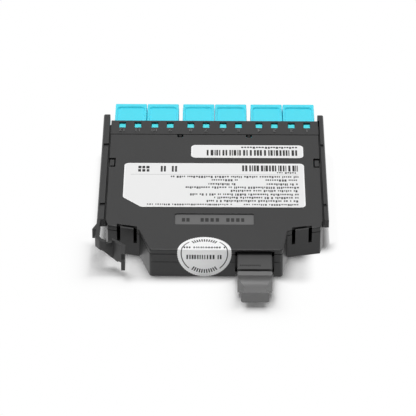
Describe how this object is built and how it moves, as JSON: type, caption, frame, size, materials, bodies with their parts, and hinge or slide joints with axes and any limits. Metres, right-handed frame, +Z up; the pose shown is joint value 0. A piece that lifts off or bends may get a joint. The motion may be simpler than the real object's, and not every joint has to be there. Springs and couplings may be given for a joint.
{
  "type": "fibre cassette",
  "caption": "Flat fibre breakout cassette with capped LC ports along the front, a capped MPO port at the rear, side rails and a sprung release lever.",
  "frame": {"origin": "middle of the casing's flat underside, half way between the bezel's front and the rear face", "axes": "+Y towards the LC ports, +Z up out of the cover, +X to the right seen from the rear"},
  "size_m": [0.091, 0.1366, 0.0122],
  "materials": {
    "casing_plastic": "fine moulded texture, satin",
    "latch_plastic": "satin",
    "aqua_plastic": "semi-gloss",
    "aqua_cap_plastic": "semi-gloss",
    "adapter_plastic": "satin",
    "cap_plastic": "satin",
    "plug_plastic": "satin",
    "mpo_plug_plastic": "satin",
    "ferrule_plastic": "matt",
    "fanout_plastic": "matt",
    "boot_rubber": "matt",
    "fibre_jacket": "satin",
    "ceramic": "polished ceramic",
    "pin_steel": "polished",
    "label_paper": "printed film, satin",
    "seal_film": "printed film, satin"
  },
  "bodies": {
    "casing": {"base_shell": "casing_plastic", "fanout_block": "fanout_plastic", "fibre_ribbon": "fibre_jacket", "fibres_1": "fibre_jacket", "fibres_2": "fibre_jacket", "fibres_3": "fibre_jacket", "guide_pins": "pin_steel", "lc_boots_1": "boot_rubber", "lc_boots_2": "boot_rubber", "lc_boots_3": "boot_rubber", "lc_ferrules_1": "ceramic", "lc_ferrules_2": "ceramic", "lc_ferrules_3": "ceramic", "lc_plug_01": "plug_plastic", "lc_plug_02": "plug_plastic", "lc_plug_03": "plug_plastic", "lc_plug_04": "plug_plastic", "lc_plug_05": "plug_plastic", "lc_plug_06": "plug_plastic", "lc_plug_07": "plug_plastic", "lc_plug_08": "plug_plastic", "lc_plug_09": "plug_plastic", "lc_plug_10": "plug_plastic", "lc_plug_11": "plug_plastic", "lc_plug_12": "plug_plastic", "lc_quad_adapter_1": "aqua_plastic", "lc_quad_adapter_2": "aqua_plastic", "lc_quad_adapter_3": "aqua_plastic", "lc_sleeves_1": "ceramic", "lc_sleeves_2": "ceramic", "lc_sleeves_3": "ceramic", "main_label": "label_paper", "mpo_adapter": "adapter_plastic", "mpo_boot": "boot_rubber", "mpo_plug": "mpo_plug_plastic", "mt_ferrule": "ferrule_plastic", "seal_sticker": "seal_film", "serial_label": "label_paper", "top_cover": "casing_plastic"},
    "lc_cap_1": {"lc_cap_1": "aqua_cap_plastic"},
    "lc_cap_2": {"lc_cap_2": "aqua_cap_plastic"},
    "lc_cap_3": {"lc_cap_3": "aqua_cap_plastic"},
    "lc_cap_4": {"lc_cap_4": "aqua_cap_plastic"},
    "lc_cap_5": {"lc_cap_5": "aqua_cap_plastic"},
    "lc_cap_6": {"lc_cap_6": "aqua_cap_plastic"},
    "mpo_dust_cap": {"mpo_dust_cap": "cap_plastic"},
    "release_lever": {"release_lever": "latch_plastic"}
  },
  "joints": [
    {"name": "lc_cap_1_slide", "type": "slide", "parent": "casing", "child": "lc_cap_1", "axis": [0, 1, 0], "range_m": [0, 0.01]},
    {"name": "lc_cap_2_slide", "type": "slide", "parent": "casing", "child": "lc_cap_2", "axis": [0, 1, 0], "range_m": [0, 0.01]},
    {"name": "lc_cap_3_slide", "type": "slide", "parent": "casing", "child": "lc_cap_3", "axis": [0, 1, 0], "range_m": [0, 0.01]},
    {"name": "lc_cap_4_slide", "type": "slide", "parent": "casing", "child": "lc_cap_4", "axis": [0, 1, 0], "range_m": [0, 0.01]},
    {"name": "lc_cap_5_slide", "type": "slide", "parent": "casing", "child": "lc_cap_5", "axis": [0, 1, 0], "range_m": [0, 0.01]},
    {"name": "lc_cap_6_slide", "type": "slide", "parent": "casing", "child": "lc_cap_6", "axis": [0, 1, 0], "range_m": [0, 0.01]},
    {"name": "mpo_dust_cap_slide", "type": "slide", "parent": "casing", "child": "mpo_dust_cap", "axis": [0, -1, 0], "range_m": [0, 0.01]},
    {"name": "release_lever_hinge", "type": "hinge", "parent": "casing", "child": "release_lever", "pos_m": [-0.04392, -0.02785, 0], "axis": [0, 0, 1], "range_deg": [0, 7], "stiffness_Nm_per_rad": 0.1}
  ]
}
